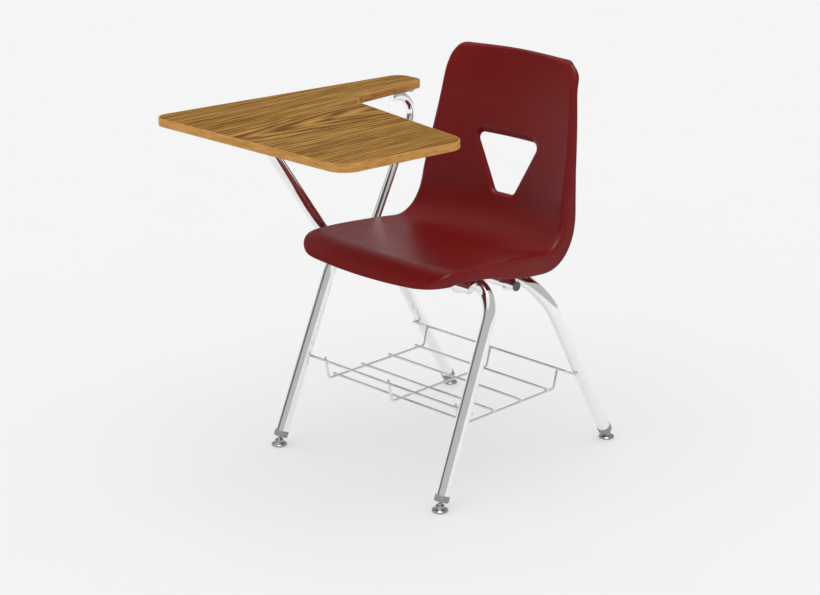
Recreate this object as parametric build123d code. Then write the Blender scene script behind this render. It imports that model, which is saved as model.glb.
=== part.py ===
from build123d import *
import os
from math import atan, cos, pi, radians, sin, sqrt, tan

# Student desk chair: moulded shell on two bent-tube leg frames, with a fixed tablet on the
# sitter's right, a wire book rack and four swivelling floor glides.
# Drawn about the chair's own midline: +X is the sitter's left, -Y the front, Z = 0 the floor.
# At the end everything is moved so that the origin is the floor point under the box's centre.

# ---------------------------------------------------------------- driving dimensions, mm
TUBE_R = 13.0            # legs and front arm tube
SLIM_R = 9.6             # rear arm tube
WALL = 1.6               # tube wall
BALL_Z = 11.0            # height of each glide's ball

FRONT_FOOT = (225.0, -225.0)
FRONT_RAKE = (-0.0266, 0.415)     # run in X and Y per unit of height
FRONT_BAR_Z = 398.0
FRONT_BEND = 68.0

REAR_FOOT = (220.0, 270.7)
REAR_RAKE = (-0.0033, -0.578)
REAR_BAR_Z = 388.0
REAR_BEND = 95.0

SHELL_T = 4.5
SEAT_SLOPE = radians(7.25)
BACK_LEAN = radians(6.85)
CREST = (-148.5, 439.9)           # Y, Z where the seat starts to roll down at the front
BACK_POINT = (189.7, 520.0)       # Y, Z of a point on the back's midline
BEND_R = 100.0                    # seat to back, on the midline
FRONT_R = 57.0
FRONT_TURN = radians(61)
TOP_Z = 770.0
TOP_R = 7.5
TOP_TURN = radians(76)
SIDE_R = 10.5                     # roll of the side flange
SIDE_TURN = radians(79)
FRONT_CORNER = 45.0
TOP_CORNER = 33.0
TOP_CROWN = 15.5
FRONT_BOW = 12.5

CUT_TOP, CUT_FOOT = 604.0, 491.0          # heights of the cut-out's edges
CUT_HALF_TOP, CUT_HALF_FOOT = 83.0, 24.0  # its half widths there
CUT_CORNER = 12.0
RIM_W = 9.0                       # thickened rim round the cut-out
RIM_DEEP = 10.0
RIM_ROUND = 5.0

TABLET_Z = 684.0
TABLET_T = 16.0
LAMINATE_T = 0.9
BACKING_T = 0.6
BAND_T = 2.0
PLATE_T = 3.0

WIRE_R = 2.5
RACK_FLOOR_Z = 130.0              # centre of the cross wires
RACK_HALF = 180.0
FLOOR_WIRE_Y = (-109.8, -31.5, 46.9, 125.2)
FLOOR_WIRE_HALF = 184.8
RAIL_Z = (172.5, 167.5)           # front, rear

os.makedirs("parts", exist_ok=True)


# ---------------------------------------------------------------- small helpers
def cylinder_between(start, end, radius):
    """Solid round bar from one point to another."""
    start, end = Vector(*start), Vector(*end)
    axis = end - start
    return extrude(Plane(start, z_dir=axis) * Circle(radius), amount=axis.length)


def bent(points, radii, radius, wall=None):
    """Round bar or tube along straight runs joined by tangent arcs."""
    path = FilletPolyline(*points, radius=radii)
    start = Plane(path @ 0, z_dir=path % 0)
    body = sweep(start * Circle(radius), path=path)
    if wall:
        body -= sweep(start * Circle(radius - wall), path=path)
    return body


def lerp(a, b, t):
    return a + (b - a) * t


def through(keys, s):
    """Smooth curve through (s, value) keys: a cubic between neighbours with averaged slopes."""
    xs = [k[0] for k in keys]
    vs = [k[1] for k in keys]
    n = len(keys)
    slopes = [(vs[i + 1] - vs[i]) / (xs[i + 1] - xs[i]) for i in range(n - 1)]
    tangents = [slopes[0]]
    for a, b in zip(slopes, slopes[1:]):
        tangents.append(0 if a * b <= 0 else 2 * a * b / (a + b))
    tangents.append(slopes[-1])
    i = max(j for j in range(n - 1) if j == 0 or s >= xs[j])
    w = xs[i + 1] - xs[i]
    t = min(max((s - xs[i]) / w, 0), 1)
    return ((2 * t**3 - 3 * t**2 + 1) * vs[i] + (t**3 - 2 * t**2 + t) * w * tangents[i]
            + (3 * t**2 - 2 * t**3) * vs[i + 1] + (t**3 - t**2) * w * tangents[i + 1])


def ease(x, a, b):
    t = min(max((x - a) / (b - a), 0), 1)
    return t * t * (3 - 2 * t)


# ---------------------------------------------------------------- shell surface
# The midline is a chain of arcs and straight runs: front roll, seat, bend, back, top roll.
# At each station s along it, a cross-section is dished towards the sitter and then rolls away
# into a side flange.
SEAT_DIR = -SEAT_SLOPE
BACK_DIR = pi / 2 - BACK_LEAN


def seat_run():
    """Length of the straight seat and of the straight back beside the bend."""
    turn = BACK_DIR - SEAT_DIR
    dy, dz = BACK_POINT[0] - CREST[0], BACK_POINT[1] - CREST[1]
    along = (dy * sin(BACK_DIR) - dz * cos(BACK_DIR)) / sin(turn)
    tangent = BEND_R * tan(turn / 2)
    corner_z = CREST[1] + along * sin(SEAT_DIR)
    back_start = corner_z + tangent * sin(BACK_DIR)
    return along - tangent, (TOP_Z - TOP_R - back_start) / sin(BACK_DIR)


SEAT_LEN, BACK_LEN = seat_run()
S_FRONT = FRONT_R * FRONT_TURN
S_SEAT = S_FRONT + SEAT_LEN
S_BEND = S_SEAT + BEND_R * (BACK_DIR - SEAT_DIR)
S_BACK = S_BEND + BACK_LEN
S_END = S_BACK + TOP_R * TOP_TURN

HALF_WIDTH = [(0, 194), (S_FRONT + 50, 205), (S_FRONT + 150, 208), (S_SEAT + 20, 206),
              (S_BEND - 10, 197), (S_BEND + 80, 190.5), (S_BEND + 170, 180.5), (S_END, 167)]
FLANGE = [(0, 29), (S_FRONT + 50, 31.5), (S_SEAT - 40, 44.5), (S_BEND, 36),
          (S_BEND + 80, 25.5), (S_END, 16.5)]
DISH = [(0, 0), (S_FRONT + 40, 10), (S_SEAT - 60, 15.5), (S_SEAT + 20, 17.5), (S_BEND, 34.5),
        (S_BEND + 70, 27.5), (S_BEND + 170, 20), (S_END - 60, 18.5), (S_END, 3)]


def midline(s):
    """Y, Z and heading angle of the shell's midline at arc length s from the front edge."""
    y, z = CREST
    if s < S_FRONT:
        heading = SEAT_DIR + (S_FRONT - s) / FRONT_R
        y += FRONT_R * (sin(SEAT_DIR) - sin(heading))
        z += FRONT_R * (cos(heading) - cos(SEAT_DIR))
        return y, z, heading
    heading = SEAT_DIR
    rest = s - S_FRONT
    for length, bend in ((SEAT_LEN, 0), (S_BEND - S_SEAT, BEND_R), (BACK_LEN, 0), (S_END - S_BACK, -TOP_R)):
        run = min(rest, length)
        if bend:
            turned = heading + run / bend
            y += bend * (sin(turned) - sin(heading))
            z += bend * (cos(heading) - cos(turned))
            heading = turned
        else:
            y += run * cos(heading)
            z += run * sin(heading)
        rest -= run
    return y, z, heading


def corner_cut(s):
    """How much the half width loses to the rounded corners, and the share of flange left."""
    loss, share = 0.0, 1.0
    for gap, radius in ((s, FRONT_CORNER), (S_END - s, TOP_CORNER)):
        if gap < radius:
            chord = sqrt(max(0, radius**2 - (radius - gap)**2))
            loss += radius - chord
            share *= chord / radius
    return loss, share


SECTION_STEPS = 48        # points along the dish, and again along the flange


def section(s):
    """Evenly spaced (x, lift) points of the cross-section at s, from the midline to the free edge."""
    loss, share = corner_cut(s)
    half = through(HALF_WIDTH, s) - loss
    flange = max(2.5, through(FLANGE, s) * share)
    dish = through(DISH, s)
    flat = half - SIDE_R * sin(SIDE_TURN) - 4
    steps = SECTION_STEPS
    walk = [(flat * i / steps, dish * (i / steps)**2) for i in range(steps + 1)]
    x, lift = walk[-1]
    angle = atan(2 * dish / flat)
    step = flange / steps
    for _ in range(steps):
        turned = max(angle - step / SIDE_R, -SIDE_TURN)
        x += step * cos((angle + turned) / 2)
        lift += step * sin((angle + turned) / 2)
        angle = turned
        walk.append((x, lift))
    return walk


def resample(walk, count):
    """The same walk with count points, closer together towards the free edge where it rolls."""
    lengths = [0.0]
    for (x0, h0), (x1, h1) in zip(walk, walk[1:]):
        lengths.append(lengths[-1] + sqrt((x1 - x0)**2 + (h1 - h0)**2))
    out = []
    i = 0
    for k in range(count):
        v = k / (count - 1)
        target = lengths[-1] * v * (1.5 - 0.5 * v)
        while i < len(walk) - 2 and lengths[i + 1] < target:
            i += 1
        t = (target - lengths[i]) / (lengths[i + 1] - lengths[i])
        out.append((lerp(walk[i][0], walk[i + 1][0], t), lerp(walk[i][1], walk[i + 1][1], t)))
    return out


def shell_point(s, x, lift):
    """Place one cross-section point in space."""
    y, z, heading = midline(s)
    half = through(HALF_WIDTH, s)
    shift = TOP_CROWN * ease(s, S_END - 90, S_END) - FRONT_BOW * (1 - ease(s, 0, 70))
    shift *= max(0, 1 - (x / half)**2)
    return (x, y - lift * sin(heading) + shift * cos(heading), z + lift * cos(heading) + shift * sin(heading))


def seat_height(x, y):
    """Height of the seat's upper face over a point on the flat of the seat."""
    s = S_FRONT + (y - CREST[0]) / cos(SEAT_DIR)
    flat = section(s)[SECTION_STEPS][0]
    return shell_point(s, x, through(DISH, s) * (x / flat)**2)[2]


def stations(count=60):
    """Arc lengths of the cross-sections, crowding together towards both rounded ends."""
    return [S_END * (1 - cos(pi * i / count)) / 2 for i in range(count + 1)]


def shell_grid(sections, columns, reach=None):
    """Rows of points over the upper surface; reach limits them to a strip about the midline."""
    rows = []
    for s in sections:
        walk = section(s)
        if reach:
            walk = [(x, lift) for x, lift in walk if x <= reach]
        right = [shell_point(s, x, lift) for x, lift in resample(walk, columns)]
        left = [(-x, y, z) for x, y, z in right[:0:-1]]
        rows.append([Vector(*p) for p in left + right])
    return rows


def sunk(rows, depth):
    """The grid moved away from the sitter, square to the surface."""
    last, end = len(rows) - 1, len(rows[0]) - 1
    out = []
    for i, row in enumerate(rows):
        moved = []
        for j, point in enumerate(row):
            along = rows[min(i + 1, last)][j] - rows[max(i - 1, 0)][j]
            across = row[min(j + 1, end)] - row[max(j - 1, 0)]
            moved.append(point - across.cross(along).normalized() * depth)
        out.append(moved)
    return out


def slab(upper_rows, lower_rows):
    """Solid between two point grids, closed by ruled faces along its four edges."""
    upper, lower = (Face.make_surface_from_array_of_points(rows, tol=0.1, min_deg=3, max_deg=3)
                    for rows in (upper_rows, lower_rows))
    faces = [upper, lower]
    for edge in upper.edges():
        middle = edge @ 0.5
        mate = lower.edges().sort_by(lambda e: ((e @ 0.5) - middle).length)[0]
        faces.append(Face.make_surface_from_curves(edge, mate))
    return Solid(Shell(faces))


def trapezoid(grow):
    """The cut-out's outline in the XZ plane, grown outward by a margin."""
    slope = (CUT_HALF_TOP - CUT_HALF_FOOT) / (CUT_TOP - CUT_FOOT)
    side = grow * sqrt(1 + slope**2)
    top, foot = CUT_TOP + grow, CUT_FOOT - grow
    half_top = CUT_HALF_TOP + side + slope * grow
    half_foot = CUT_HALF_FOOT + side - slope * grow
    outline = Polyline((-half_top, top), (half_top, top), (half_foot, foot), (-half_foot, foot), close=True)
    sketch = make_face(outline)
    return fillet(sketch.vertices(), CUT_CORNER + grow)


# Rear arm tube: cross run, corner outside the seat, top corner under the elbow rest, tip.
PLATE_FOOT = TABLET_Z - TABLET_T - PLATE_T
REAR_ARM = [(190.0, 18.0, 377.0), (-228.5, 34.5, 380.0), (-257.5, 213.0, PLATE_FOOT - SLIM_R),
            (-257.5, 127.0, PLATE_FOOT - SLIM_R)]
REAR_ARM_BENDS = [36.0, 38.0]

# Front arm tube: cross run beside the front leg bar, then up to the tablet and inward under it.
FRONT_ARM = [(206.0, -91.4, 395.0), (-165.0, -91.4, 395.0), (-223.0, -76.6, 396.5),
             (-223.0, -259.0, PLATE_FOOT - TUBE_R), (-138.0, -330.0, PLATE_FOOT - TUBE_R)]
FRONT_ARM_BENDS = [60.0, 32.0, 46.0]
MITRE_X = 174.0         # where the front arm's oblique end crosses its axis
MITRE_NORMAL = (26.0, 0.0, 44.0)

BOSS_R = 17.0            # moulded posts under the shell
INSERT_R = 5.5
SCREW_R = 3.2
FRONT_BOSS_X = 138.0
REAR_BOSS_X = 165.0
SADDLE_T = 1.0           # saddle washer under the tube
SADDLE_R = 9.0
HEAD_T = 2.2             # seat screw's head
HEAD_R = 6.5
PLUG_T = 4.0             # oblique cap of the front arm tube


def boss_spots():
    """X, Y, Z of the tube centre under each boss, with the tube's radius."""
    spots = [(x, FRONT_ARM[0][1], FRONT_ARM[0][2], TUBE_R) for x in (-FRONT_BOSS_X, FRONT_BOSS_X)]
    start, end = REAR_ARM[:2]
    for x in (-REAR_BOSS_X, REAR_BOSS_X):
        t = (start[0] - x) / (start[0] - end[0])
        spots.append((x, lerp(start[1], end[1], t), lerp(start[2], end[2], t), SLIM_R))
    return spots


def make_shell(frame_bars):
    """Moulded shell with its rimmed cut-out and the four bosses that sit on the arm tubes."""
    rows = shell_grid(stations(), 25)
    body = slab(rows, sunk(rows, SHELL_T))

    window = Plane((0, 290, 0), x_dir=(1, 0, 0), z_dir=(0, -1, 0))
    strip = shell_grid([lerp(S_BEND - 45, S_BEND + 125, i / 20) for i in range(21)], 13, reach=115)
    rim = slab(sunk(strip, SHELL_T / 2), sunk(strip, RIM_DEEP))
    body += rim & extrude(window * trapezoid(RIM_W), amount=180)

    seat = shell_grid([lerp(S_FRONT - 10, S_SEAT + 10, i / 16) for i in range(17)], 13, reach=186)
    above = slab(sunk(seat, -15), sunk(seat, SHELL_T / 2))
    for x, y, z, tube in boss_spots():
        face = seat_height(x, y)
        post = cylinder_between((x, y, z + tube * 0.55), (x, y, face + 6), BOSS_R) - above
        for bar in frame_bars:
            post -= bar
        body += post
        body -= cylinder_between((x, y, z), (x, y, face - SHELL_T / 2 - 3), INSERT_R)

    body -= extrude(window * trapezoid(0), amount=180)
    return fillet([e for e in body.edges() if is_front_rim(e, body)], RIM_ROUND)


def is_front_rim(edge, body):
    """True for an edge of the cut-out on the side that the sitter leans on: its twin lies behind it."""
    middle = edge @ 0.5
    probe = Vector(middle.X, middle.Y + RIM_DEEP, middle.Z)
    twins = [e for e in body.edges() if ((e @ 0.5) - probe).length < 2.5]
    in_window = CUT_FOOT - 2 < middle.Z < CUT_TOP + 2 and abs(middle.X) < CUT_HALF_TOP + 2
    return in_window and edge.geom_type != GeomType.LINE and bool(twins)


# ---------------------------------------------------------------- frame
def leg_axis(foot, rake):
    """Ball centre and unit vector up the leg of the left-hand (+X) leg."""
    return Vector(foot[0], foot[1], BALL_Z), Vector(rake[0], rake[1], 1).normalized()


TUBE_START = 11.0     # along the leg, from the ball to the tube's cut end
FERRULE_FOOT = 8.0
FERRULE_LEN = 17.0


def leg_frame(foot, rake, bar_z, bend, wall=WALL):
    ball, up = leg_axis(foot, rake)
    start = ball + up * TUBE_START
    top = ball + up * ((bar_z - BALL_Z) / up.Z)
    half = [(start.X, start.Y, start.Z), (top.X, top.Y, top.Z)]
    other = [(-x, y, z) for x, y, z in half[::-1]]
    return bent(half + other, [bend, bend], TUBE_R, wall)


def bar_y(foot, rake, bar_z):
    return foot[1] + rake[1] * (bar_z - BALL_Z)


FRONT_BAR_Y = bar_y(FRONT_FOOT, FRONT_RAKE, FRONT_BAR_Z)
REAR_BAR_Y = bar_y(REAR_FOOT, REAR_RAKE, REAR_BAR_Z)


STRETCHER_X = 95.0
STRETCHER_SIZE = (6.0, 22.0)


def stretcher(x):
    """Flat bar on edge between the two leg frames, notched over the rear arm tube."""
    start = Vector(x, FRONT_BAR_Y, FRONT_BAR_Z - 1)
    end = Vector(x, REAR_BAR_Y, REAR_BAR_Z - 1)
    run = end - start
    frame = Plane(start, x_dir=(1, 0, 0), z_dir=run)
    bar = extrude(frame * Rectangle(*STRETCHER_SIZE), amount=run.length)
    for y, z in ((FRONT_BAR_Y, FRONT_BAR_Z), (REAR_BAR_Y, REAR_BAR_Z)):
        bar -= cylinder_between((x - 20, y, z), (x + 20, y, z), TUBE_R)
    return bar - cylinder_between(REAR_ARM[0], REAR_ARM[1], SLIM_R)


def beyond_mitre(recess):
    """Block that takes away the front arm's end past its oblique cut, moved inward by a recess."""
    _, y, z = FRONT_ARM[0]
    face = Plane((MITRE_X, y, z), z_dir=MITRE_NORMAL).offset(-recess)
    return extrude(face * Rectangle(160, 160), amount=90)


def arm_tubes(leg_bars):
    """Both arm tubes, drilled for the seat screws and coped where they meet the leg frames."""
    front = bent(FRONT_ARM, FRONT_ARM_BENDS, TUBE_R, WALL) - beyond_mitre(0)
    rear = bent(REAR_ARM, REAR_ARM_BENDS, SLIM_R, WALL)
    for x, y, z, tube in boss_spots():
        drill = cylinder_between((x, y, z - 25), (x, y, z + 25), SCREW_R)
        if tube == TUBE_R:
            front -= drill
        else:
            rear -= drill
    for bar in leg_bars:
        front -= bar
    return front, rear


def mitre_plug():
    """Flush moulded cap in the front arm's oblique end."""
    _, y, z = FRONT_ARM[0]
    bar = cylinder_between((MITRE_X - 40, y, z), FRONT_ARM[0], TUBE_R - WALL - 0.1)
    return (bar - beyond_mitre(0.3)) & beyond_mitre(PLUG_T)


def end_plug(end, inward, radius):
    """Moulded cap on a tube's open end: domed head and a plug inside the tube."""
    end = Vector(*end)
    inward = (Vector(*inward) - end).normalized()
    head = extrude(Plane(end, z_dir=inward * -1) * Circle(radius), amount=3)
    head = fillet(head.edges().group_by(lambda e: (e.center() - end).dot(inward))[0], 1.5)
    return head + extrude(Plane(end, z_dir=inward) * Circle(radius - WALL - 0.1), amount=10)


# ---------------------------------------------------------------- seat fixings
def seat_screws(arm_bars):
    """Screws up through the arm tubes, saddle washers under the tubes and threaded inserts."""
    screws, saddles, inserts = [], [], []
    for x, y, z, tube in boss_spots():
        top = seat_height(x, y) - SHELL_T / 2 - 3
        foot = z - tube - SADDLE_T
        shank = cylinder_between((x, y, foot), (x, y, top - 2), SCREW_R)
        head = cylinder_between((x, y, foot - HEAD_T), (x, y, foot), HEAD_R)
        head = fillet(head.edges().group_by(Axis.Z)[0], 1.2)
        head -= Pos(x, y, foot - HEAD_T) * Box(8, 1.4, HEAD_T)
        head -= Pos(x, y, foot - HEAD_T) * Box(1.4, 8, HEAD_T)
        screws.append(shank + head)
        saddle = cylinder_between((x, y, foot), (x, y, z - tube + 3.5), SADDLE_R)
        for bar in arm_bars:
            saddle -= bar
        saddles.append(saddle - cylinder_between((x, y, foot - 1), (x, y, z), SCREW_R))
        sleeve = cylinder_between((x, y, z + tube + 1.5), (x, y, top), INSERT_R)
        inserts.append(sleeve - cylinder_between((x, y, z), (x, y, top - 2), SCREW_R))
    return screws, saddles, inserts


# ---------------------------------------------------------------- tablet
# Corners in plan with their radii, going round from the front outer corner.
TABLET_CORNERS = [((-374.5, -399.0), 31), ((158.5, -401.5), 40), ((181.5, -113.0), 40),
                  ((-179.5, -36.0), 25), ((-218.8, -2.0), 22), ((-238.0, 207.0), 27), ((-313.5, 207.0), 30)]


def tablet_outline(inset):
    """Plan outline of the tablet, drawn in by a margin."""
    points = [p for p, _ in TABLET_CORNERS]
    face = make_face(Polyline(*points, close=True))
    for (x, y), radius in TABLET_CORNERS:
        near = face.vertices().sort_by(lambda v: (v.X - x)**2 + (v.Y - y)**2)[0]
        face = fillet(near, radius)
    if inset:
        face = offset(face, amount=-inset, kind=Kind.ARC)
    return face


def tablet_parts(pilot_holes):
    full, inner = tablet_outline(0), tablet_outline(BAND_T)
    foot = TABLET_Z - TABLET_T
    core = Pos(0, 0, foot + BACKING_T) * extrude(inner, amount=TABLET_T - BACKING_T - LAMINATE_T)
    top = Pos(0, 0, TABLET_Z - LAMINATE_T) * extrude(inner, amount=LAMINATE_T)
    backing = Pos(0, 0, foot) * extrude(inner, amount=BACKING_T)
    band = Pos(0, 0, foot) * extrude(full - inner, amount=TABLET_T)
    rim = [e for e in band.edges() if abs(e.length) > 5 and abs(e.center().Z - (foot + TABLET_T / 2)) > 7]
    outer = [e for e in rim if not inner_edge(e, inner)]
    band = fillet(outer, 1.6)
    for hole in pilot_holes:
        core -= hole
        backing -= hole
    return core, top, backing, band


def inner_edge(edge, inner):
    """True for an edge of the band that touches the core."""
    middle = edge @ 0.5
    flat = Vector(middle.X, middle.Y, 0)
    return any(e.distance_to(flat) < 0.5 for e in inner.edges())


SCREW_SHANK_R = 2.2
FRONT_PLATE = ((-180.0, -294.5), 40.0, (120.0, 70.0))      # centre, turn in degrees, size
REAR_PLATE = ((-260.0, 150.0), 0.0, (46.0, 60.0))


def tablet_plate(plate, spots):
    """Mounting plate with rounded corners and screw holes; returns it with its screws and pilot bores."""
    (cx, cy), turn, size = plate
    place = Pos(cx, cy, PLATE_FOOT) * Rot(0, 0, turn)
    body = place * extrude(RectangleRounded(*size, 8), amount=PLATE_T)
    screws, bores = [], []
    for u, v in spots:
        shank = place * Pos(u, v, 7) * Cylinder(SCREW_SHANK_R, 14)
        head = place * Pos(u, v, -1.3) * Cylinder(4.6, 2.6)
        head = fillet(head.edges().group_by(Axis.Z)[0], 1.4)
        head -= place * Pos(u, v, -2.4) * Box(6, 1.1, 1.6)
        head -= place * Pos(u, v, -2.4) * Box(1.1, 6, 1.6)
        body -= shank
        screws.append(shank + head)
        bores.append(shank)
    return body, screws, bores


# ---------------------------------------------------------------- book rack
def rack():
    front_y = FRONT_FOOT[1] + FRONT_RAKE[1] * (RAIL_Z[0] - BALL_Z)
    front_y += (TUBE_R + WIRE_R + 0.1) * sqrt(1 + FRONT_RAKE[1]**2)
    rear_y = REAR_FOOT[1] + REAR_RAKE[1] * (RAIL_Z[1] - BALL_Z)
    rear_y -= (TUBE_R + WIRE_R + 0.1) * sqrt(1 + REAR_RAKE[1]**2)
    front = cylinder_between((-229, front_y, RAIL_Z[0]), (229, front_y, RAIL_Z[0]), WIRE_R)
    rear = cylinder_between((-227, rear_y, RAIL_Z[1]), (227, rear_y, RAIL_Z[1]), WIRE_R)
    lay = RACK_FLOOR_Z + 2 * WIRE_R + 0.02
    floor = [cylinder_between((-FLOOR_WIRE_HALF, y, lay), (FLOOR_WIRE_HALF, y, lay), WIRE_R)
             for y in FLOOR_WIRE_Y]
    wires = []
    for x in (-RACK_HALF, 0, RACK_HALF):
        gap = 2 * WIRE_R + 0.05
        front_touch, rear_touch = front_y + gap, rear_y - gap
        points = [(x, front_touch - 0.8, RAIL_Z[0] + 5), (x, front_touch + 9, RACK_FLOOR_Z),
                  (x, rear_touch - 10, RACK_FLOOR_Z), (x, rear_touch + 0.8, RAIL_Z[1] + 5)]
        wires.append(bent(points, [8, 8], WIRE_R))
    return front, rear, floor, wires


# ---------------------------------------------------------------- feet
BALL_R = 6.0
NECK_R = 2.5
CUP_R = 15.5
SOCKET_GAP = 0.3


def foot_parts(foot, rake, side):
    """Ferrule, ball stud, glide cup and pad of one leg; side is 1 for +X and -1 for -X."""
    ball, up = leg_axis(foot, rake)
    ball = Vector(ball.X * side, ball.Y, ball.Z)
    up = Vector(up.X * side, up.Y, up.Z)
    along = Plane(ball, z_dir=up)

    ferrule = along * Pos(0, 0, FERRULE_FOOT + FERRULE_LEN / 2) * Cylinder(TUBE_R + 2.2, FERRULE_LEN)
    ferrule = fillet(ferrule.edges().filter_by(GeomType.CIRCLE), 1.2)
    pocket = FERRULE_FOOT + FERRULE_LEN - TUBE_START + 1
    ferrule -= along * Pos(0, 0, TUBE_START + pocket / 2) * Cylinder(TUBE_R, pocket)
    ferrule += along * Pos(0, 0, TUBE_START + 10) * Cylinder(TUBE_R - WALL - 0.1, 20)
    ferrule -= along * Pos(0, 0, 17) * Cylinder(4.0, 24)

    stud = Pos(ball) * Sphere(BALL_R)
    stud += along * Pos(0, 0, 3.5) * Cylinder(NECK_R, 7)
    stud += along * Pos(0, 0, 7 + 10.5) * Cylinder(4.0, 21)

    x, y = ball.X, ball.Y
    profile = Polyline((0, 2.6), (14.2, 2.6), (14.2, 0.8), (CUP_R, 0.8), (CUP_R, 4.2), (13.6, 5.6),
                       (9.6, 7.6), (8.2, 9.6), (8.2, 13.0), (0, 13.0), close=True)
    cup = revolve(Plane.XZ * make_face(profile), axis=Axis.Z)
    cup -= Pos(0, 0, BALL_Z) * Sphere(BALL_R + SOCKET_GAP)
    pad = fillet((Pos(0, 0, 1.3) * Cylinder(14.2, 2.6)).edges().group_by(Axis.Z)[0], 0.8)
    return ferrule, stud, Pos(x, y, 0) * cup, Pos(x, y, 0) * pad


# ---------------------------------------------------------------- assembly
def build():
    leg_bars = [leg_frame(FRONT_FOOT, FRONT_RAKE, FRONT_BAR_Z, FRONT_BEND, wall=None),
                leg_frame(REAR_FOOT, REAR_RAKE, REAR_BAR_Z, REAR_BEND, wall=None)]
    arm_bars = [bent(FRONT_ARM, FRONT_ARM_BENDS, TUBE_R), bent(REAR_ARM, REAR_ARM_BENDS, SLIM_R)]
    nodes = {"seat_shell": make_shell(leg_bars + arm_bars)}
    nodes["front_leg_frame"] = leg_frame(FRONT_FOOT, FRONT_RAKE, FRONT_BAR_Z, FRONT_BEND)
    nodes["rear_leg_frame"] = leg_frame(REAR_FOOT, REAR_RAKE, REAR_BAR_Z, REAR_BEND)
    for name, x in (("left", STRETCHER_X), ("right", -STRETCHER_X)):
        nodes[f"stretcher_{name}"] = stretcher(x)
    nodes["front_arm_tube"], nodes["rear_arm_tube"] = arm_tubes(leg_bars)
    nodes["front_arm_tube_plug"] = mitre_plug() - leg_bars[0]
    nodes["rear_arm_tube_plug"] = end_plug(REAR_ARM[0], REAR_ARM[1], SLIM_R)
    nodes["seat_screws"], nodes["seat_screw_saddles"], nodes["seat_inserts"] = seat_screws(arm_bars)

    front_spots = [(u, v) for u in (-46, 46) for v in (-25, 25)]
    rear_spots = [(u, v) for u in (-16.5, 16.5) for v in (-22, 22)]
    front_plate, front_screws, front_bores = tablet_plate(FRONT_PLATE, front_spots)
    rear_plate, rear_screws, rear_bores = tablet_plate(REAR_PLATE, rear_spots)
    core, top, backing, band = tablet_parts(front_bores + rear_bores)
    nodes.update(tablet_core=core, tablet_top_laminate=top, tablet_backing_sheet=backing,
                 tablet_edge_band=band, front_tablet_plate=front_plate, rear_tablet_plate=rear_plate,
                 front_tablet_screws=front_screws, rear_tablet_screws=rear_screws)

    front_rail, rear_rail, floor, wires = rack()
    nodes.update(rack_front_rail=front_rail, rack_rear_rail=rear_rail, rack_floor_wires=floor)
    for name, wire in zip(("right", "middle", "left"), wires):
        nodes[f"rack_cross_wire_{name}"] = wire

    for row, foot, rake in (("front", FRONT_FOOT, FRONT_RAKE), ("rear", REAR_FOOT, REAR_RAKE)):
        for name, side in (("left", 1), ("right", -1)):
            pieces = foot_parts(foot, rake, side)
            for kind, piece in zip(("ferrule", "stud", "glide_cup", "glide_pad"), pieces):
                nodes[f"{row}_{name}_{kind}"] = piece
    return nodes


def centre(pieces):
    """Plan centre of the box round every piece: the origin that the files are written about."""
    boxes = [piece.bounding_box() for piece in pieces]
    low = [min(getattr(b.min, k) for b in boxes) for k in "XY"]
    high = [max(getattr(b.max, k) for b in boxes) for k in "XY"]
    return (low[0] + high[0]) / 2, (low[1] + high[1]) / 2


NODES = {name: item if isinstance(item, list) else [item] for name, item in build().items()}
ORIGIN = centre([piece for pieces in NODES.values() for piece in pieces])
for name, pieces in NODES.items():
    moved = [Pos(-ORIGIN[0], -ORIGIN[1], 0) * piece for piece in pieces]
    export_step(moved[0] if len(moved) == 1 else Compound(moved), f"parts/{name}.step")
print("origin in chair coordinates", round(ORIGIN[0], 3), round(ORIGIN[1], 3))
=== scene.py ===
import math
import random

import bmesh
import bpy
from mathutils import Matrix, Vector
from mathutils.geometry import delaunay_2d_cdt


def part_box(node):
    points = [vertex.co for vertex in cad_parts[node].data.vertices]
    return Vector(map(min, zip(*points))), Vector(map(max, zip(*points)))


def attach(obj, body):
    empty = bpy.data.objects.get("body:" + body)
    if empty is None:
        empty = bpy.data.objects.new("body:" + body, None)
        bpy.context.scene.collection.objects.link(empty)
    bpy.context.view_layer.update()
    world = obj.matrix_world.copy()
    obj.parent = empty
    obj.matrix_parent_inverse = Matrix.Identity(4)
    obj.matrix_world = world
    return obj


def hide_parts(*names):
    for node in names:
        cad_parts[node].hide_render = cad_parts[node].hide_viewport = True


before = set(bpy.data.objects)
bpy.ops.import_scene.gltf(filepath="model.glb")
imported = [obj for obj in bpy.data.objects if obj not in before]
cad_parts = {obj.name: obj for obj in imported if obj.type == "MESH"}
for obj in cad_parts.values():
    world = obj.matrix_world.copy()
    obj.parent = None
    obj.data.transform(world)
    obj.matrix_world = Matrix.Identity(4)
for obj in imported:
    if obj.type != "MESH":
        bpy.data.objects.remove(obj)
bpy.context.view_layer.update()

random.seed(7)

# Everything is written in chair coordinates (midline X = 0, floor Z = 0, metres) and moved by SHIFT.
shell_lo, shell_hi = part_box("seat_shell")
cup_lo, cup_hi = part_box("front_left_glide_cup")
FRONT_FOOT = (0.225, -0.225)
REAR_FOOT = (0.220, 0.2707)
SHIFT = Vector(((shell_lo[0] + shell_hi[0]) / 2, (cup_lo[1] + cup_hi[1]) / 2 - FRONT_FOOT[1], 0))
ROOT = "chair"


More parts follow.
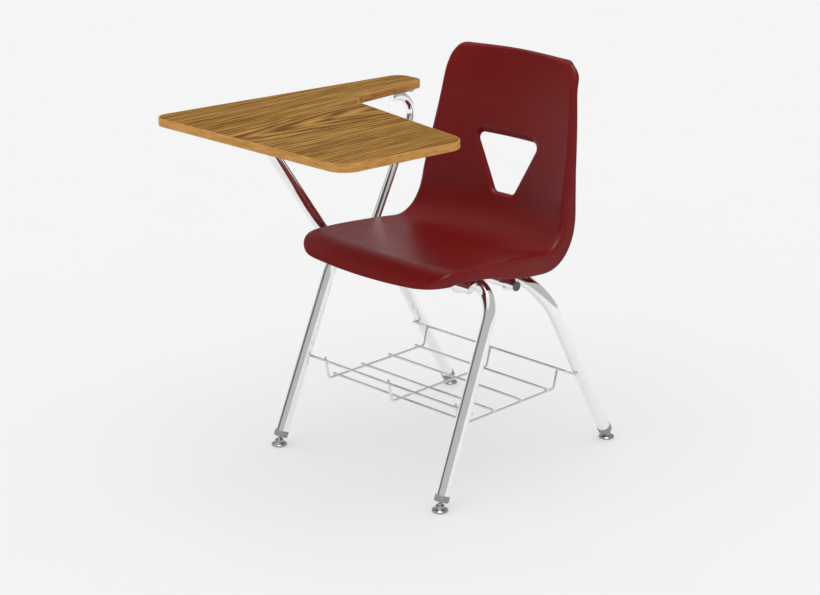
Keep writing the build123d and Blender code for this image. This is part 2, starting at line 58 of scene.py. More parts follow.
# ---- material helpers
class Nodes:
    """Short names for building one material's node tree."""

    def __init__(self, name):
        self.material = bpy.data.materials.new(name)
        self.material.use_nodes = True
        self.tree = self.material.node_tree
        self.shader = self.tree.nodes["Principled BSDF"]

    def add(self, kind, **settings):
        node = self.tree.nodes.new(kind)
        for key, value in settings.items():
            setattr(node, key, value)
        return node

    def link(self, source, target):
        self.tree.links.new(source, target)

    def feed(self, socket, value):
        """Gives a socket a number or a link."""
        if isinstance(value, (int, float)):
            socket.default_value = value
        else:
            self.link(value, socket)

    def coords(self, scale=(1, 1, 1), rotation=(0, 0, 0), location=(0, 0, 0)):
        geometry = self.add("ShaderNodeTexCoord")
        mapping = self.add("ShaderNodeMapping")
        mapping.inputs["Scale"].default_value = scale
        mapping.inputs["Rotation"].default_value = rotation
        mapping.inputs["Location"].default_value = location
        self.link(geometry.outputs["Object"], mapping.inputs["Vector"])
        return mapping.outputs["Vector"]

    def noise(self, vector, scale, detail=3.0, rough=0.5, distortion=0.0):
        node = self.add("ShaderNodeTexNoise")
        node.inputs["Scale"].default_value = scale
        node.inputs["Detail"].default_value = detail
        node.inputs["Roughness"].default_value = rough
        node.inputs["Distortion"].default_value = distortion
        self.link(vector, node.inputs["Vector"])
        return node.outputs["Fac"]

    def ramp(self, factor, stops):
        """Colour ramp through (place, colour) stops."""
        node = self.add("ShaderNodeValToRGB")
        elements = node.color_ramp.elements
        while len(elements) < len(stops):
            elements.new(0.5)
        for element, (place, colour) in zip(elements, stops):
            element.position = place
            element.color = (*colour, 1)
        self.link(factor, node.inputs["Fac"])
        return node.outputs["Color"]

    def span(self, factor, low, high, start=0.0, end=1.0):
        """The factor's run from start to end mapped onto low to high."""
        node = self.add("ShaderNodeMapRange")
        node.inputs["From Min"].default_value = start
        node.inputs["From Max"].default_value = end
        node.inputs["To Min"].default_value = low
        node.inputs["To Max"].default_value = high
        self.link(factor, node.inputs["Value"])
        return node.outputs["Result"]

    def mix(self, factor, a, b, blend):
        node = self.add("ShaderNodeMix", data_type="RGBA", blend_type=blend)
        for name, value in (("Factor", factor), ("A", a), ("B", b)):
            self.feed(node.inputs[name], value)
        return node.outputs["Result"]

    def math(self, operation, a, b):
        node = self.add("ShaderNodeMath", operation=operation)
        for socket, value in zip(node.inputs, (a, b)):
            self.feed(socket, value)
        return node.outputs["Value"]

    def bump(self, height, strength, distance):
        node = self.add("ShaderNodeBump")
        node.inputs["Strength"].default_value = strength
        node.inputs["Distance"].default_value = distance
        self.link(height, node.inputs["Height"])
        self.link(node.outputs["Normal"], self.shader.inputs["Normal"])

    def set(self, **values):
        """Sets the shader's inputs, each named with underscores for spaces."""
        for key, value in values.items():
            self.feed(self.shader.inputs[key.replace("_", " ")], value)


def shell_material():
    m = Nodes("maroon_shell")
    v = m.coords()
    cloudy = m.noise(v, 6.0, 4.0, 0.6)
    pebble = m.noise(v, 900.0, 2.0, 0.55)
    rubbed = m.noise(v, 22.0, 4.0, 0.6)
    base = m.ramp(cloudy, [(0.3, (0.168, 0.0030, 0.0032)), (0.7, (0.190, 0.0040, 0.0042))])
    m.set(Base_Color=base, Roughness=m.span(rubbed, 0.34, 0.40, 0.3, 0.7), Specular_IOR_Level=0.26)
    m.bump(pebble, 0.16, 0.0003)
    return m.material


def chrome_material(name, tint=(0.96, 0.962, 0.965)):
    m = Nodes(name)
    v = m.coords()
    haze = m.noise(v, 35.0, 5.0, 0.6)
    brush = m.noise(v, 500.0, 3.0, 0.6)
    darker = tuple(c * 0.94 for c in tint)
    base = m.ramp(haze, [(0.3, darker), (0.7, tint)])
    m.set(Base_Color=base, Metallic=1.0, Roughness=m.span(haze, 0.07, 0.12, 0.35, 0.7))
    m.bump(brush, 0.04, 0.0001)
    return m.material


def plastic_material(name, colour, rough=0.45):
    m = Nodes(name)
    v = m.coords()
    cloudy = m.noise(v, 90.0, 4.0, 0.6)
    fine = m.noise(v, 2200.0, 2.0, 0.5)
    base = m.ramp(cloudy, [(0.3, tuple(c * 0.88 for c in colour)), (0.7, colour)])
    m.set(Base_Color=base, Roughness=m.span(cloudy, rough - 0.06, rough + 0.08, 0.3, 0.7))
    m.bump(fine, 0.2, 0.0002)
    return m.material


def steel_material(name, colour=(0.55, 0.56, 0.58), rough=0.32):
    m = Nodes(name)
    v = m.coords()
    patches = m.noise(v, 120.0, 4.0, 0.7)
    scratches = m.noise(m.coords(scale=(1, 12, 1)), 400.0, 3.0, 0.6)
    base = m.ramp(patches, [(0.3, tuple(c * 0.8 for c in colour)), (0.7, colour)])
    m.set(Base_Color=base, Metallic=1.0, Roughness=m.span(patches, rough - 0.08, rough + 0.1, 0.3, 0.7))
    m.bump(scratches, 0.15, 0.0002)
    return m.material


GRAIN_TURN = math.radians(5.6)      # the grain runs beside the tablet's slanted outer edge
FIGURE_STRETCH = 0.085              # how far the growth rings are drawn out along the grain
FIGURE_CENTRE = (0.055, -0.040)     # middle of the nested arches, across and along, after stretching


def oak_material():
    m = Nodes("oak_laminate")

    def along_grain(stretch, centre=(0, 0)):
        return m.coords(scale=(1.0, stretch, 1.0), rotation=(0, 0, GRAIN_TURN), location=(*centre, 0))

    streaks = m.noise(along_grain(0.060), 50.0, 5.0, 0.64, 0.6)
    fine = m.noise(along_grain(0.05), 210.0, 4.0, 0.68)
    pores = m.noise(along_grain(0.06), 1100.0, 2.0, 0.6)
    rings = m.add("ShaderNodeTexWave", wave_type="RINGS", rings_direction="Z", wave_profile="SIN")
    rings.inputs["Scale"].default_value = 34.0
    rings.inputs["Distortion"].default_value = 10.0
    rings.inputs["Detail"].default_value = 4.0
    rings.inputs["Detail Scale"].default_value = 0.60
    rings.inputs["Detail Roughness"].default_value = 0.62
    m.link(along_grain(FIGURE_STRETCH, FIGURE_CENTRE), rings.inputs["Vector"])
    figure = m.math("MULTIPLY", rings.outputs["Fac"], 0.24)
    broad = m.math("MULTIPLY", streaks, 0.62)
    thin = m.math("MULTIPLY", fine, 0.50)
    grain = m.math("ADD", m.math("ADD", figure, broad), thin)
    colour = m.ramp(grain, [(0.53, (0.140, 0.054, 0.0070)), (0.62, (0.240, 0.108, 0.018)),
                            (0.71, (0.345, 0.172, 0.033)), (0.84, (0.490, 0.262, 0.058))])
    dots = m.ramp(pores, [(0.30, (0.70, 0.62, 0.52)), (0.44, (1, 1, 1))])
    colour = m.mix(0.5, colour, dots, "MULTIPLY")
    m.set(Base_Color=colour, Roughness=m.span(streaks, 0.52, 0.44, 0.3, 0.7), Specular_IOR_Level=0.03)
    m.bump(pores, 0.10, 0.0002)
    return m.material


def band_material():
    m = Nodes("oak_edge_band")
    v = m.coords(scale=(1, 1, 6))
    streaks = m.noise(v, 34.0, 4.0, 0.6)
    fine = m.noise(v, 420.0, 3.0, 0.6)
    tone = m.ramp(streaks, [(0.32, (0.50, 0.222, 0.048)), (0.5, (0.64, 0.312, 0.074)),
                            (0.7, (0.74, 0.395, 0.108))])
    flecks = m.ramp(fine, [(0.35, (0.62, 0.56, 0.5)), (0.55, (1, 1, 1))])
    colour = m.mix(0.30, tone, flecks, "MULTIPLY")
    m.set(Base_Color=colour, Roughness=m.span(streaks, 0.40, 0.50, 0.3, 0.7), Specular_IOR_Level=0.2)
    m.bump(fine, 0.1, 0.0002)
    return m.material


def board_material(name, dark, light):
    m = Nodes(name)
    v = m.coords()
    flakes = m.add("ShaderNodeTexVoronoi")
    flakes.inputs["Scale"].default_value = 420.0
    m.link(v, flakes.inputs["Vector"])
    colour = m.ramp(flakes.outputs["Distance"], [(0.1, dark), (0.7, light)])
    m.set(Base_Color=colour, Roughness=m.span(m.noise(v, 80.0), 0.5, 0.7, 0.3, 0.7))
    m.bump(flakes.outputs["Distance"], 0.2, 0.0003)
    return m.material


MAT = {
    "shell": shell_material(),
    "chrome": chrome_material("chrome_tube"),
    "wire": chrome_material("chrome_wire", (0.80, 0.805, 0.81)),
    "nickel": steel_material("nickel_glide", (0.44, 0.435, 0.42), 0.26),
    "zinc": steel_material("zinc_steel"),
    "bright_zinc": steel_material("bright_zinc_steel", (0.93, 0.93, 0.93), 0.2),
    "brass": steel_material("brass", (0.68, 0.50, 0.22), 0.35),
    "dark": plastic_material("dark_plug", (0.115, 0.115, 0.118), 0.5),
    "grey": plastic_material("grey_ferrule", (0.33, 0.33, 0.335), 0.45),
    "nylon": plastic_material("nylon_pad", (0.62, 0.60, 0.55), 0.5),
    "oak": oak_material(),
    "band": band_material(),
    "board": board_material("pressed_board", (0.22, 0.15, 0.09), (0.48, 0.36, 0.24)),
    "backing": board_material("backing_sheet", (0.075, 0.058, 0.045), (0.11, 0.09, 0.07)),
}


# ---- mesh helpers
def mesh_object(name, points, faces, material, smooth=True):
    """Object from points in chair coordinates. Its caps, the faces with over 4 sides, are flat and sharp."""
    mesh = bpy.data.meshes.new(name)
    mesh.from_pydata([Vector(p) + SHIFT for p in points], [], faces)
    mesh.validate()
    mesh.update()
    cap_edges = set()
    for polygon in mesh.polygons:
        is_cap = polygon.loop_total > 4
        polygon.use_smooth = smooth and not is_cap
        if is_cap:
            cap_edges.update(polygon.edge_keys)
    for edge in mesh.edges:
        edge.use_edge_sharp = edge.key in cap_edges
    obj = bpy.data.objects.new(name, mesh)
    bpy.context.scene.collection.objects.link(obj)
    mesh.materials.append(material)
    return obj


def place(obj, body, slot, *nodes):
    """Fixes a piece to a body, in place of the named CAD nodes. The slot argument is not used."""
    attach(obj, body)
    if nodes:
        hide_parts(*nodes)


def solid(name, mesh_data, look, body, slot, *nodes, smooth=True):
    """Places a closed mesh whose faces are first turned to point outwards."""
    obj = mesh_object(name, *mesh_data, MAT[look], smooth)
    bm = bmesh.new()
    bm.from_mesh(obj.data)
    bmesh.ops.recalc_face_normals(bm, faces=bm.faces)
    bm.to_mesh(obj.data)
    bm.free()
    place(obj, body, slot, *nodes)


def rounded(points, radii, step=math.radians(4)):
    """Points along straight runs whose inner corners are replaced by arcs of the given radii."""
    points = [Vector(p) for p in points]
    out = [points[0]]
    for previous, corner, following, radius in zip(points, points[1:], points[2:], radii):
        a = (previous - corner).normalized()
        b = (following - corner).normalized()
        angle = a.angle(b)
        if radius <= 0 or angle > math.pi - 1e-4:
            out.append(corner)
            continue
        reach = radius / math.tan(angle / 2)
        start = corner + a * reach
        middle = corner + (a + b).normalized() * (radius / math.sin(angle / 2))
        turn = math.pi - angle
        count = max(2, math.ceil(turn / step))
        axis = a.cross(b).normalized()
        arm = start - middle
        for i in range(count + 1):
            out.append(middle + Matrix.Rotation(-turn * i / count, 3, axis) @ arm)
    out.append(points[-1])
    return out


def ring_faces(rings, sides, closed=False):
    """Quads between successive rings of points; closed also joins the last ring to the first."""
    faces = []
    for i in range(rings if closed else rings - 1):
        j = (i + 1) % rings
        for k in range(sides):
            n = (k + 1) % sides
            faces.append((i * sides + k, i * sides + n, j * sides + n, j * sides + k))
    return faces


def capped(rings, sides):
    """Ring faces with a flat cap at each end."""
    last = (rings - 1) * sides
    return ring_faces(rings, sides) + [tuple(range(sides))[::-1], tuple(range(last, last + sides))]


def sweep(path, radii, sides):
    """Closed bar along a path without twist; radii is one radius or a list with one for each point."""
    path = [Vector(p) for p in path]
    tangents = []
    for i in range(len(path)):
        step = path[min(i + 1, len(path) - 1)] - path[max(i - 1, 0)]
        tangents.append(step.normalized())
    normal = tangents[0].orthogonal().normalized()
    points = []
    for i, (centre, tangent) in enumerate(zip(path, tangents)):
        normal = (normal - tangent * normal.dot(tangent)).normalized()
        other = tangent.cross(normal)
        radius = radii[i] if isinstance(radii, list) else radii
        for k in range(sides):
            a = 2 * math.pi * k / sides
            points.append(centre + (normal * math.cos(a) + other * math.sin(a)) * radius)
    return points, capped(len(path), sides)


def joined(parts):
    """Several (points, faces) pairs as one."""
    points, faces = [], []
    for more_points, more_faces in parts:
        base = len(points)
        points += list(more_points)
        faces += [tuple(base + i for i in face) for face in more_faces]
    return points, faces


LEAST_R = 1e-5           # radius that stands for a point on the axis


def turned(profile, centre, axis, sides=48):
    """A profile of (radius, height) pairs revolved about an axis through centre."""
    axis = Vector(axis).normalized()
    normal = axis.orthogonal().normalized()
    other = axis.cross(normal)
    centre = Vector(centre)
    points = []
    for radius, height in profile:
        for k in range(sides):
            a = 2 * math.pi * k / sides
            out = (normal * math.cos(a) + other * math.sin(a)) * max(radius, LEAST_R)
            points.append(centre + axis * height + out)
    return points, capped(len(profile), sides)


def soft_profile(corners, radius, count=4):
    """(radius, height) profile with its inner corners rounded."""
    flat = [(r, h, 0) for r, h in corners]
    out = rounded(flat, [radius] * (len(flat) - 2), step=math.pi / 2 / count)
    return [(p.x, p.y) for p in out]


# ---- shell
# The midline is a curled front, a straight seat, a bend, a straight back and a rolled top.
SHELL_T = 0.0045                        # wall thickness
SEAT_DIR = -math.radians(7.25)          # the seat falls towards the back
BACK_DIR = math.pi / 2 - math.radians(6.85)
CREST = (-0.1485, 0.4399)               # (Y, Z) where the front curl meets the seat
BACK_POINT = (0.1897, 0.520)            # (Y, Z) of a point on the back
BEND_R = 0.100                          # bend between seat and back
FRONT_R, FRONT_TURN = 0.057, math.radians(61)
TOP_Z = 0.770
TOP_R, TOP_TURN = 0.0075, math.radians(76)
SIDE_R, SIDE_TURN = 0.0105, math.radians(79)
FRONT_CORNER, TOP_CORNER = 0.045, 0.033     # corner radii in plan
TOP_CROWN, FRONT_BOW = 0.0155, 0.0125   # how far the middle stands beyond the corners at the top and front

turn = BACK_DIR - SEAT_DIR
dy, dz = BACK_POINT[0] - CREST[0], BACK_POINT[1] - CREST[1]
along = (dy * math.sin(BACK_DIR) - dz * math.cos(BACK_DIR)) / math.sin(turn)
tangent = BEND_R * math.tan(turn / 2)
SEAT_LEN = along - tangent
back_start = CREST[1] + along * math.sin(SEAT_DIR) + tangent * math.sin(BACK_DIR)
BACK_LEN = (TOP_Z - TOP_R - back_start) / math.sin(BACK_DIR)
S_FRONT = FRONT_R * FRONT_TURN
S_SEAT = S_FRONT + SEAT_LEN
S_BEND = S_SEAT + BEND_R * turn
S_BACK = S_BEND + BACK_LEN
S_END = S_BACK + TOP_R * TOP_TURN

# Half width, side flange length and dish depth against arc length.
HALF_WIDTH = [(0, .194), (S_FRONT + .050, .205), (S_FRONT + .150, .208), (S_SEAT + .020, .206),
              (S_BEND - .010, .197), (S_BEND + .080, .1905), (S_BEND + .170, .1805), (S_END, .167)]
FLANGE = [(0, .029), (S_FRONT + .050, .0315), (S_SEAT - .040, .0445), (S_BEND, .036),
          (S_BEND + .080, .0255), (S_END, .0165)]
DISH = [(0, 0), (S_FRONT + .040, .010), (S_SEAT - .060, .0155), (S_SEAT + .020, .0175), (S_BEND, .0345),
        (S_BEND + .070, .0275), (S_BEND + .170, .020), (S_END - .060, .0185), (S_END, .003)]


def through(keys, s):
    """Smooth curve through (s, value) keys: a cubic between neighbours with averaged slopes."""
    xs = [k[0] for k in keys]
    vs = [k[1] for k in keys]
    n = len(keys)
    slopes = [(vs[i + 1] - vs[i]) / (xs[i + 1] - xs[i]) for i in range(n - 1)]
    tangents = [slopes[0]]
    for a, b in zip(slopes, slopes[1:]):
        tangents.append(0 if a * b <= 0 else 2 * a * b / (a + b))
    tangents.append(slopes[-1])
    i = max(j for j in range(n - 1) if j == 0 or s >= xs[j])
    w = xs[i + 1] - xs[i]
    t = min(max((s - xs[i]) / w, 0), 1)
    return ((2 * t**3 - 3 * t**2 + 1) * vs[i] + (t**3 - 2 * t**2 + t) * w * tangents[i]
            + (3 * t**2 - 2 * t**3) * vs[i + 1] + (t**3 - t**2) * w * tangents[i + 1])


def ease(x, a, b):
    """0 up to a, 1 from b on, and a smooth step between."""
    t = min(max((x - a) / (b - a), 0), 1)
    return t * t * (3 - 2 * t)


def midline(s):
    """(Y, Z, heading) of the shell's midline at arc length s from the front edge."""
    y, z = CREST
    if s < S_FRONT:
        heading = SEAT_DIR + (S_FRONT - s) / FRONT_R
        y += FRONT_R * (math.sin(SEAT_DIR) - math.sin(heading))
        z += FRONT_R * (math.cos(heading) - math.cos(SEAT_DIR))
        return y, z, heading
    heading = SEAT_DIR
    rest = s - S_FRONT
    for length, bend in ((SEAT_LEN, 0), (S_BEND - S_SEAT, BEND_R), (BACK_LEN, 0), (S_END - S_BACK, -TOP_R)):
        run = min(rest, length)
        if bend:
            after = heading + run / bend
            y += bend * (math.sin(after) - math.sin(heading))
            z += bend * (math.cos(heading) - math.cos(after))
            heading = after
        else:
            y += run * math.cos(heading)
            z += run * math.sin(heading)
        rest -= run
    return y, z, heading


LEAST_FLANGE = 0.0025
FLANGE_GAP = 0.004       # between the dished flat part and the start of the side curl
CROWN_RUN, BOW_RUN = 0.090, 0.070


class Section:
    """The shell at arc length s: its place on the midline, and its dished flat part."""

    def __init__(self, s):
        self.s = s
        loss, share = 0.0, 1.0
        for gap, radius in ((s, FRONT_CORNER), (S_END - s, TOP_CORNER)):
            if gap < radius:
                chord = math.sqrt(max(0, radius**2 - (radius - gap)**2))
                loss += radius - chord
                share *= chord / radius
        self.nominal = through(HALF_WIDTH, s)
        self.half = self.nominal - loss
        self.flange = max(LEAST_FLANGE, through(FLANGE, s) * share)
        self.dish = through(DISH, s)
        self.flat = self.half - SIDE_R * math.sin(SIDE_TURN) - FLANGE_GAP
        self.y, self.z, self.heading = midline(s)
        self.crown = TOP_CROWN * ease(s, S_END - CROWN_RUN, S_END) - FRONT_BOW * (1 - ease(s, 0, BOW_RUN))

    def point(self, x, lift):
        """Point at x, raised square to the midline by lift."""
        shift = self.crown * max(0, 1 - (x / self.nominal)**2)
        return Vector((x, self.y - lift * math.sin(self.heading) + shift * math.cos(self.heading),
                       self.z + lift * math.cos(self.heading) + shift * math.sin(self.heading)))

    def flat_point(self, x):
        """Point of the dished flat part at x."""
        return self.point(x, self.dish * (x / self.flat)**2)


class Row(Section):
    """A cross-section with its side flange, walked from the midline to the free edge."""

    def __init__(self, s, steps=60):
        super().__init__(s)
        walk = [(self.flat * i / steps, self.dish * (i / steps)**2) for i in range(steps + 1)]
        x, lift = walk[-1]
        angle = math.atan(2 * self.dish / self.flat)
        step = self.flange / steps
        for _ in range(steps):
            after = max(angle - step / SIDE_R, -SIDE_TURN)
            x += step * math.cos((angle + after) / 2)
            lift += step * math.sin((angle + after) / 2)
            angle = after
            walk.append((x, lift))
        self.walk = walk
        self.lengths = [0.0]
        for (x0, h0), (x1, h1) in zip(walk, walk[1:]):
            self.lengths.append(self.lengths[-1] + math.hypot(x1 - x0, h1 - h0))

    def at_length(self, target):
        """(x, lift) at a path length from the midline."""
        lengths = self.lengths
        lo, hi = 0, len(lengths) - 1
        while hi - lo > 1:
            mid = (lo + hi) // 2
            if lengths[mid] <= target:
                lo = mid
            else:
                hi = mid
        t = (target - lengths[lo]) / (lengths[hi] - lengths[lo])
        t = min(max(t, 0), 1)
        (x0, h0), (x1, h1) = self.walk[lo], self.walk[hi]
        return x0 + (x1 - x0) * t, h0 + (h1 - h0) * t


# The cut-out: a trapezoid in the XZ plane with rounded corners. Distances to it are positive outside.
CUT_TOP, CUT_FOOT = 0.604, 0.491
CUT_HALF_TOP, CUT_HALF_FOOT = 0.083, 0.024
CUT_CORNER = 0.012
FUNNEL_W = 0.0108        # mean width of the sloping wall round the hole
FUNNEL_LEAN = 0.0048     # how much wider the wall is above the hole, and narrower below it
FUNNEL_DEEP = 0.0078
RIM_DEEP = 0.0105        # how far the rim reaches behind the surface
RIM_RUN = (0.0035, 0.0095)   # the rim's thickening dies out between these distances from the hole
RIM_R = 0.0012           # round on the rim's back edge
LIP_R = 0.0015           # round on the shell's free edge
CUT_RUN = 0.006          # spacing of points along the outline's straight sides


def cut_loop(grow, count=22):
    """Points of the trapezoid's outline grown outward, with its corners rounded."""
    slope = (CUT_HALF_TOP - CUT_HALF_FOOT) / (CUT_TOP - CUT_FOOT)
    side = grow * math.sqrt(1 + slope**2)
    top, foot = CUT_TOP + grow, CUT_FOOT - grow
    half_top = CUT_HALF_TOP + side + slope * grow
    half_foot = CUT_HALF_FOOT + side - slope * grow
    corners = [Vector((-half_top, top)), Vector((half_top, top)),
               Vector((half_foot, foot)), Vector((-half_foot, foot))]
    radius = CUT_CORNER + grow
    out = []
    for i, corner in enumerate(corners):
        a = (corners[i - 1] - corner).normalized()
        b = (corners[(i + 1) % 4] - corner).normalized()
        angle = a.angle(b)
        middle = corner + (a + b).normalized() * (radius / math.sin(angle / 2))
        start = corner + a * (radius / math.tan(angle / 2)) - middle
        sweep_angle = math.pi - angle
        sign = -1 if a.x * b.y - a.y * b.x > 0 else 1
        for k in range(count + 1):
            t = sign * sweep_angle * k / count
            c, s = math.cos(t), math.sin(t)
            out.append(middle + Vector((start.x * c - start.y * s, start.x * s + start.y * c)))
        following = corners[(i + 1) % 4]
        angle_next = (corner - following).normalized().angle((corners[(i + 2) % 4] - following).normalized())
        end = following + (corner - following).normalized() * (radius / math.tan(angle_next / 2))
        begin = out[-1]
        runs = max(2, round((end - begin).length / CUT_RUN))
        out += [begin.lerp(end, k / runs) for k in range(1, runs)]
    return out


def find_s(x, z, lo=S_SEAT, hi=S_END - 0.02):
    """Arc length at which the shell's face passes through height z at x."""
    for _ in range(26):
        mid = (lo + hi) / 2
        if Section(mid).flat_point(x).z < z:
            lo = mid
        else:
            hi = mid
    return (lo + hi) / 2


def inside(point, outline):
    """True where a point of the plane lies within a closed outline."""
    x, z = point
    within = False
    for (x0, z0), (x1, z1) in zip(outline, outline[1:] + outline[:1]):
        if (z0 > z) != (z1 > z) and x < x0 + (x1 - x0) * (z - z0) / (z1 - z0):
            within = not within
    return within


CUT_LOOP = cut_loop(0)


def inside_cut(x, z):
    return inside((x, z), CUT_LOOP)


def cut_distance(x, z):
    """Distance from the cut-out's outline, for points outside it, and how far that direction points up."""
    best, upward = 1.0, 0.0
    for (x0, z0), (x1, z1) in zip(CUT_LOOP, CUT_LOOP[1:] + CUT_LOOP[:1]):
        ex, ez = x1 - x0, z1 - z0
        t = min(max(((x - x0) * ex + (z - z0) * ez) / (ex * ex + ez * ez), 0), 1)
        away = math.hypot(x - x0 - ex * t, z - z0 - ez * t)
        if away < best:
            best, upward = away, (z - z0 - ez * t) / max(away, 1e-9)
    return best, upward


def shell_depths(free, hole, upward=0.0):
    """Depth below the moulded surface of the upper and the lower skin, from the distances to the
    free edge and to the cut-out; upward is 1 straight above the cut-out and -1 straight below."""
    lip = min(free / LIP_R, 1)
    round_off = LIP_R * (1 - math.sqrt(max(0, 1 - (1 - lip)**2)))
    upper, lower = round_off, SHELL_T - round_off
    near = max(0, 1 - hole / (FUNNEL_W + FUNNEL_LEAN * upward))
    upper += FUNNEL_DEEP * (0.65 * near**1.4 + 0.35 * (1 - math.sqrt(1 - near**2)))
    lower += (RIM_DEEP - SHELL_T) * (1 - ease(hole, *RIM_RUN))
    back_round = min(hole / RIM_R, 1)
    lower -= RIM_R * (1 - math.sqrt(max(0, 1 - (1 - back_round)**2)))
    return upper, lower


ROWS, HALF_COLUMNS = 110, 40
LIPS = (0.0008, 0.0003, 0.0)            # last columns, by distance from the free edge
PATCH_REACH = 0.026                     # least margin of the triangulated patch round the cut-out
PATCH_FREE = 0.021                      # grid points nearer the hole than this are left to the rings
PATCH_RINGS = (0.0, 0.00012, 0.0004, 0.0009, 0.0016, 0.0026, 0.0040, 0.0056, 0.0075, 0.0096, 0.0118,
               0.0145, 0.018)
PATCH_HALF_WIDTH = 0.12                 # beyond this the cut-out has no effect
ON_HOLE = 0.00002                       # a point this near the outline lies on it


def shell_mesh():
    """Points and faces of the whole moulded shell."""
    rows = [Row(S_END * (1 - math.cos(math.pi * i / ROWS)) / 2) for i in range(ROWS + 1)]
    columns = HALF_COLUMNS + len(LIPS)
    base, free, flat_x = [], [], []
    for row in rows:
        total = row.lengths[-1]
        shares = [k / HALF_COLUMNS for k in range(HALF_COLUMNS + 1)]
        paths = [(total - LIP_R) * v * (1.5 - 0.5 * v) for v in shares]
        paths += [total - lip for lip in LIPS]
        places = [row.at_length(path) for path in paths]
        right = [row.point(x, lift) for x, lift in places]
        edge = [min(total - path, row.s, S_END - row.s) for path in paths]
        base.append([Vector((-p.x, p.y, p.z)) for p in right[:0:-1]] + right)
        free.append(edge[:0:-1] + edge)
        flat_x.append([-x for x, _ in places[:0:-1]] + [x for x, _ in places])
    width = 2 * columns + 1
    normals = []
    for i in range(ROWS + 1):
        line = []
        for j in range(width):
            along_v = base[min(i + 1, ROWS)][j] - base[max(i - 1, 0)][j]
            across = base[i][min(j + 1, width - 1)] - base[i][max(j - 1, 0)]
            line.append(across.cross(along_v).normalized())
        normals.append(line)

    # The patch round the cut-out, between these rows and columns, is meshed by triangulation.
    heights = [row.flat_point(0).z for row in rows]
    first = max(i for i in range(ROWS) if heights[i] < CUT_FOOT - PATCH_REACH and rows[i].s > S_SEAT)
    last = min(i for i in range(ROWS) if heights[i] > CUT_TOP + PATCH_REACH)
    half_cols = min(j for j in range(columns)
                    if all(flat_x[i][columns + j] > CUT_HALF_TOP + PATCH_REACH for i in (first, last)))
    left, right = columns - half_cols, columns + half_cols

    points2d, anchors = [], []
    border = [(first, j) for j in range(left, right)] + [(i, right) for i in range(first, last)]
    border += [(last, j) for j in range(right, left, -1)] + [(i, left) for i in range(last, first, -1)]
    for i, j in border:
        points2d.append(Vector((flat_x[i][j], rows[i].s)))
        anchors.append((i, j))
    edges = [(k, (k + 1) % len(border)) for k in range(len(border))]
    hole_start, hole_count = len(points2d), len(CUT_LOOP)
    for grow in PATCH_RINGS:
        start = len(points2d)
        for x, z in cut_loop(grow):
            points2d.append(Vector((x, find_s(x, z))))
            anchors.append(None)
        count = len(points2d) - start
        edges += [(start + k, start + (k + 1) % count) for k in range(count)]
    for i in range(first + 1, last):
        for j in range(left + 1, right):
            p = base[i][j]
            if not inside_cut(p.x, p.z) and cut_distance(p.x, p.z)[0] > PATCH_FREE:
                points2d.append(Vector((flat_x[i][j], rows[i].s)))
                anchors.append((i, j))
    new_points, _, triangles, origins = delaunay_2d_cdt(points2d, edges, [], 0, 1e-9, True)[:4]

    upper, lower, index = [], [], {}

    def add(point, normal, edge):
        """Adds the upper and lower skin's vertices at a point and returns their index."""
        hole, upward = cut_distance(point.x, point.z)
        if inside_cut(point.x, point.z) or hole < ON_HOLE:
            hole = 0.0
        top, under = shell_depths(edge, hole, upward)
        upper.append(point - normal * top)
        lower.append(point - normal * under)
        return len(upper) - 1

    def grid_vertex(i, j):
        if (i, j) not in index:
            if abs(flat_x[i][j]) > PATCH_HALF_WIDTH or i < first or i > last:
                top, under = shell_depths(free[i][j], 1.0)
                upper.append(base[i][j] - normals[i][j] * top)
                lower.append(base[i][j] - normals[i][j] * under)
                index[(i, j)] = len(upper) - 1
            else:
                index[(i, j)] = add(base[i][j], normals[i][j], free[i][j])
        return index[(i, j)]

    faces = []
    for i in range(ROWS):
        for j in range(width - 1):
            if first <= i < last and left <= j < right:
                continue
            corners = ((i, j), (i, j + 1), (i + 1, j + 1), (i + 1, j))
            faces.append(tuple(grid_vertex(*corner) for corner in corners))
    patch = []
    hole_index = {}
    for k, place2d in enumerate(new_points):
        anchor = next((anchors[o] for o in origins[k] if anchors[o]), None)
        if anchor:
            patch.append(grid_vertex(*anchor))
        else:
            x, s = place2d
            step = 0.0005
            point = Section(s).flat_point(x)
            across = Section(s).flat_point(x + step) - Section(s).flat_point(x - step)
            along_v = Section(s + step).flat_point(x) - Section(s - step).flat_point(x)
            patch.append(add(point, across.cross(along_v).normalized(), 1.0))
        for o in origins[k]:
            if hole_start <= o < hole_start + hole_count:
                hole_index[o - hole_start] = patch[-1]
    for tri in triangles:
        middle = sum((upper[patch[k]] for k in tri), Vector()) / 3
        flat_middle = sum((new_points[k] for k in tri), Vector((0, 0))) / 3
        test = Section(flat_middle.y).flat_point(flat_middle.x)
        if inside(flat_middle, points2d[:len(border)]) and not inside_cut(test.x, test.z):
            faces.append(tuple(patch[k] for k in tri))

    count = len(upper)
    all_faces = faces + [tuple(count + k for k in face[::-1]) for face in faces]
    rim = [grid_vertex(0, j) for j in range(width)]
    rim += [grid_vertex(i, width - 1) for i in range(1, ROWS + 1)]
    rim += [grid_vertex(ROWS, j) for j in range(width - 2, -1, -1)]
    rim += [grid_vertex(i, 0) for i in range(ROWS - 1, 0, -1)]
    ring = [hole_index[k] for k in range(hole_count)]
    for loop in (rim, ring):
        for a, b in zip(loop, loop[1:] + loop[:1]):
            all_faces.append((b, a, count + a, count + b))
    return upper + lower, all_faces


solid("shell_moulding", shell_mesh(), "shell", ROOT, "shell_plastic", "seat_shell")


